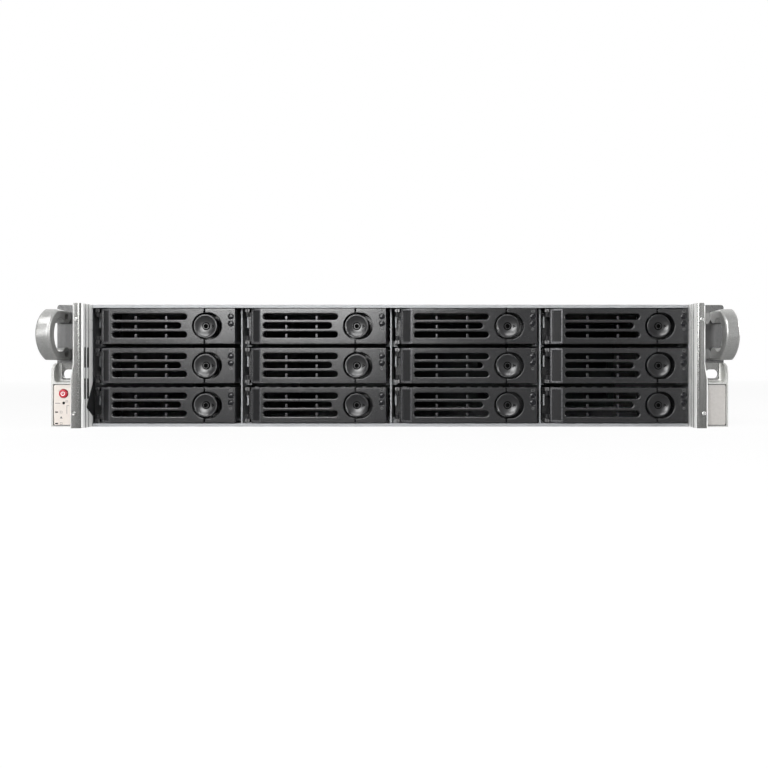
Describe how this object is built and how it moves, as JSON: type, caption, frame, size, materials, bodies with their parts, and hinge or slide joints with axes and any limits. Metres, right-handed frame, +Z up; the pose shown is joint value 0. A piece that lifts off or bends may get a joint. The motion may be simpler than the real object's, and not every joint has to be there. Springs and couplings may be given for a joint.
{
  "type": "rackmount storage expansion unit",
  "caption": "Flat rack chassis with rows of vented pull-out drive trays, each with a swing lever and round release button, rack ears with loop handles, fans and twin power supplies.",
  "frame": {"origin": "on the underside, at the middle of the overall width and length", "axes": "+X right seen from the front, +Y from the front to the back, +Z up"},
  "size_m": [0.4826, 0.562, 0.088],
  "materials": {
    "zinc_steel": "zinc-plated sheet",
    "satin_grey": "satin grey",
    "cast_silver": "cast, satin",
    "tray_black": "fine texture",
    "button_black": "satin",
    "control_plastic": "satin",
    "red_plastic": "gloss",
    "circuit_board": "solder mask",
    "fan_plastic": "moulded",
    "latch_plastic": "moulded",
    "screw_steel": "plated"
  },
  "bodies": {
    "chassis": {"chassis_base": "zinc_steel", "front_cover": "zinc_steel", "top_cover": "zinc_steel", "rear_panel": "zinc_steel", "bay_dividers": "zinc_steel", "backplane": "circuit_board", "fan_wall": "fan_plastic", "left_ear": "satin_grey", "right_ear": "satin_grey", "left_handle": "cast_silver", "right_handle": "cast_silver", "control_block": "control_plastic", "right_block": "satin_grey", "expander_board": "circuit_board", "psu_cage": "zinc_steel", "screws": "screw_steel"},
    "tray_13": {"tray_13": "tray_black"},
    "lever_13": {"lever_13": "tray_black"},
    "button_13": {"button_13": "button_black"},
    "tray_12": {"tray_12": "tray_black"},
    "lever_12": {"lever_12": "tray_black"},
    "button_12": {"button_12": "button_black"},
    "tray_11": {"tray_11": "tray_black"},
    "lever_11": {"lever_11": "tray_black"},
    "button_11": {"button_11": "button_black"},
    "tray_23": {"tray_23": "tray_black"},
    "lever_23": {"lever_23": "tray_black"},
    "button_23": {"button_23": "button_black"},
    "tray_22": {"tray_22": "tray_black"},
    "lever_22": {"lever_22": "tray_black"},
    "button_22": {"button_22": "button_black"},
    "tray_21": {"tray_21": "tray_black"},
    "lever_21": {"lever_21": "tray_black"},
    "button_21": {"button_21": "button_black"},
    "tray_33": {"tray_33": "tray_black"},
    "lever_33": {"lever_33": "tray_black"},
    "button_33": {"button_33": "button_black"},
    "tray_32": {"tray_32": "tray_black"},
    "lever_32": {"lever_32": "tray_black"},
    "button_32": {"button_32": "button_black"},
    "tray_31": {"tray_31": "tray_black"},
    "lever_31": {"lever_31": "tray_black"},
    "button_31": {"button_31": "button_black"},
    "tray_43": {"tray_43": "tray_black"},
    "lever_43": {"lever_43": "tray_black"},
    "button_43": {"button_43": "button_black"},
    "tray_42": {"tray_42": "tray_black"},
    "lever_42": {"lever_42": "tray_black"},
    "button_42": {"button_42": "button_black"},
    "tray_41": {"tray_41": "tray_black"},
    "lever_41": {"lever_41": "tray_black"},
    "button_41": {"button_41": "button_black"},
    "fan_rotor_1": {"fan_rotor_1": "fan_plastic"},
    "fan_rotor_2": {"fan_rotor_2": "fan_plastic"},
    "fan_rotor_3": {"fan_rotor_3": "fan_plastic"},
    "power_button": {"power_button": "red_plastic"},
    "psu_lower": {"psu_lower": "zinc_steel"},
    "psu_lower_latch": {"psu_lower_latch": "latch_plastic"},
    "psu_upper": {"psu_upper": "zinc_steel"},
    "psu_upper_latch": {"psu_upper_latch": "latch_plastic"}
  },
  "joints": [
    {"name": "tray_13_slide", "type": "slide", "parent": "chassis", "child": "tray_13", "axis": [0, -1, 0], "range_m": [0, 0.16]},
    {"name": "lever_13_hinge", "type": "hinge", "parent": "tray_13", "child": "lever_13", "pos_m": [-0.21295, -0.253, 0.01547], "axis": [0, 0, -1], "range_deg": [0, 70]},
    {"name": "button_13_press", "type": "slide", "parent": "lever_13", "child": "button_13", "axis": [0, 1, 0], "range_m": [0, 0.002], "stiffness_N_per_m": 400, "springref_m": -0.001},
    {"name": "tray_12_slide", "type": "slide", "parent": "chassis", "child": "tray_12", "axis": [0, -1, 0], "range_m": [0, 0.16]},
    {"name": "lever_12_hinge", "type": "hinge", "parent": "tray_12", "child": "lever_12", "pos_m": [-0.21295, -0.253, 0.044], "axis": [0, 0, -1], "range_deg": [0, 70]},
    {"name": "button_12_press", "type": "slide", "parent": "lever_12", "child": "button_12", "axis": [0, 1, 0], "range_m": [0, 0.002], "stiffness_N_per_m": 400, "springref_m": -0.001},
    {"name": "tray_11_slide", "type": "slide", "parent": "chassis", "child": "tray_11", "axis": [0, -1, 0], "range_m": [0, 0.16]},
    {"name": "lever_11_hinge", "type": "hinge", "parent": "tray_11", "child": "lever_11", "pos_m": [-0.21295, -0.253, 0.07253], "axis": [0, 0, -1], "range_deg": [0, 70]},
    {"name": "button_11_press", "type": "slide", "parent": "lever_11", "child": "button_11", "axis": [0, 1, 0], "range_m": [0, 0.002], "stiffness_N_per_m": 400, "springref_m": -0.001},
    {"name": "tray_23_slide", "type": "slide", "parent": "chassis", "child": "tray_23", "axis": [0, -1, 0], "range_m": [0, 0.16]},
    {"name": "lever_23_hinge", "type": "hinge", "parent": "tray_23", "child": "lever_23", "pos_m": [-0.10405, -0.253, 0.01547], "axis": [0, 0, -1], "range_deg": [0, 70]},
    {"name": "button_23_press", "type": "slide", "parent": "lever_23", "child": "button_23", "axis": [0, 1, 0], "range_m": [0, 0.002], "stiffness_N_per_m": 400, "springref_m": -0.001},
    {"name": "tray_22_slide", "type": "slide", "parent": "chassis", "child": "tray_22", "axis": [0, -1, 0], "range_m": [0, 0.16]},
    {"name": "lever_22_hinge", "type": "hinge", "parent": "tray_22", "child": "lever_22", "pos_m": [-0.10405, -0.253, 0.044], "axis": [0, 0, -1], "range_deg": [0, 70]},
    {"name": "button_22_press", "type": "slide", "parent": "lever_22", "child": "button_22", "axis": [0, 1, 0], "range_m": [0, 0.002], "stiffness_N_per_m": 400, "springref_m": -0.001},
    {"name": "tray_21_slide", "type": "slide", "parent": "chassis", "child": "tray_21", "axis": [0, -1, 0], "range_m": [0, 0.16]},
    {"name": "lever_21_hinge", "type": "hinge", "parent": "tray_21", "child": "lever_21", "pos_m": [-0.10405, -0.253, 0.07253], "axis": [0, 0, -1], "range_deg": [0, 70]},
    {"name": "button_21_press", "type": "slide", "parent": "lever_21", "child": "button_21", "axis": [0, 1, 0], "range_m": [0, 0.002], "stiffness_N_per_m": 400, "springref_m": -0.001},
    {"name": "tray_33_slide", "type": "slide", "parent": "chassis", "child": "tray_33", "axis": [0, -1, 0], "range_m": [0, 0.16]},
    {"name": "lever_33_hinge", "type": "hinge", "parent": "tray_33", "child": "lever_33", "pos_m": [0.00485, -0.253, 0.01547], "axis": [0, 0, -1], "range_deg": [0, 70]},
    {"name": "button_33_press", "type": "slide", "parent": "lever_33", "child": "button_33", "axis": [0, 1, 0], "range_m": [0, 0.002], "stiffness_N_per_m": 400, "springref_m": -0.001},
    {"name": "tray_32_slide", "type": "slide", "parent": "chassis", "child": "tray_32", "axis": [0, -1, 0], "range_m": [0, 0.16]},
    {"name": "lever_32_hinge", "type": "hinge", "parent": "tray_32", "child": "lever_32", "pos_m": [0.00485, -0.253, 0.044], "axis": [0, 0, -1], "range_deg": [0, 70]},
    {"name": "button_32_press", "type": "slide", "parent": "lever_32", "child": "button_32", "axis": [0, 1, 0], "range_m": [0, 0.002], "stiffness_N_per_m": 400, "springref_m": -0.001},
    {"name": "tray_31_slide", "type": "slide", "parent": "chassis", "child": "tray_31", "axis": [0, -1, 0], "range_m": [0, 0.16]},
    {"name": "lever_31_hinge", "type": "hinge", "parent": "tray_31", "child": "lever_31", "pos_m": [0.00485, -0.253, 0.07253], "axis": [0, 0, -1], "range_deg": [0, 70]},
    {"name": "button_31_press", "type": "slide", "parent": "lever_31", "child": "button_31", "axis": [0, 1, 0], "range_m": [0, 0.002], "stiffness_N_per_m": 400, "springref_m": -0.001},
    {"name": "tray_43_slide", "type": "slide", "parent": "chassis", "child": "tray_43", "axis": [0, -1, 0], "range_m": [0, 0.16]},
    {"name": "lever_43_hinge", "type": "hinge", "parent": "tray_43", "child": "lever_43", "pos_m": [0.11375, -0.253, 0.01547], "axis": [0, 0, -1], "range_deg": [0, 70]},
    {"name": "button_43_press", "type": "slide", "parent": "lever_43", "child": "button_43", "axis": [0, 1, 0], "range_m": [0, 0.002], "stiffness_N_per_m": 400, "springref_m": -0.001},
    {"name": "tray_42_slide", "type": "slide", "parent": "chassis", "child": "tray_42", "axis": [0, -1, 0], "range_m": [0, 0.16]},
    {"name": "lever_42_hinge", "type": "hinge", "parent": "tray_42", "child": "lever_42", "pos_m": [0.11375, -0.253, 0.044], "axis": [0, 0, -1], "range_deg": [0, 70]},
    {"name": "button_42_press", "type": "slide", "parent": "lever_42", "child": "button_42", "axis": [0, 1, 0], "range_m": [0, 0.002], "stiffness_N_per_m": 400, "springref_m": -0.001},
    {"name": "tray_41_slide", "type": "slide", "parent": "chassis", "child": "tray_41", "axis": [0, -1, 0], "range_m": [0, 0.16]},
    {"name": "lever_41_hinge", "type": "hinge", "parent": "tray_41", "child": "lever_41", "pos_m": [0.11375, -0.253, 0.07253], "axis": [0, 0, -1], "range_deg": [0, 70]},
    {"name": "button_41_press", "type": "slide", "parent": "lever_41", "child": "button_41", "axis": [0, 1, 0], "range_m": [0, 0.002], "stiffness_N_per_m": 400, "springref_m": -0.001},
    {"name": "fan_rotor_1_spin", "type": "hinge", "parent": "chassis", "child": "fan_rotor_1", "pos_m": [-0.11, -0.034, 0.044], "axis": [0, 1, 0], "continuous": true},
    {"name": "fan_rotor_2_spin", "type": "hinge", "parent": "chassis", "child": "fan_rotor_2", "pos_m": [0, -0.034, 0.044], "axis": [0, 1, 0], "continuous": true},
    {"name": "fan_rotor_3_spin", "type": "hinge", "parent": "chassis", "child": "fan_rotor_3", "pos_m": [0.11, -0.034, 0.044], "axis": [0, 1, 0], "continuous": true},
    {"name": "power_button_press", "type": "slide", "parent": "chassis", "child": "power_button", "axis": [0, 1, 0], "range_m": [0, 0.0012], "stiffness_N_per_m": 600, "springref_m": -0.001},
    {"name": "psu_lower_slide", "type": "slide", "parent": "chassis", "child": "psu_lower", "axis": [0, 1, 0], "range_m": [0, 0.15]},
    {"name": "psu_lower_latch_push", "type": "slide", "parent": "psu_lower", "child": "psu_lower_latch", "axis": [-1, 0, 0], "range_m": [0, 0.0025], "stiffness_N_per_m": 800, "springref_m": -0.001},
    {"name": "psu_upper_slide", "type": "slide", "parent": "chassis", "child": "psu_upper", "axis": [0, 1, 0], "range_m": [0, 0.15]},
    {"name": "psu_upper_latch_push", "type": "slide", "parent": "psu_upper", "child": "psu_upper_latch", "axis": [-1, 0, 0], "range_m": [0, 0.0025], "stiffness_N_per_m": 800, "springref_m": -0.001}
  ]
}
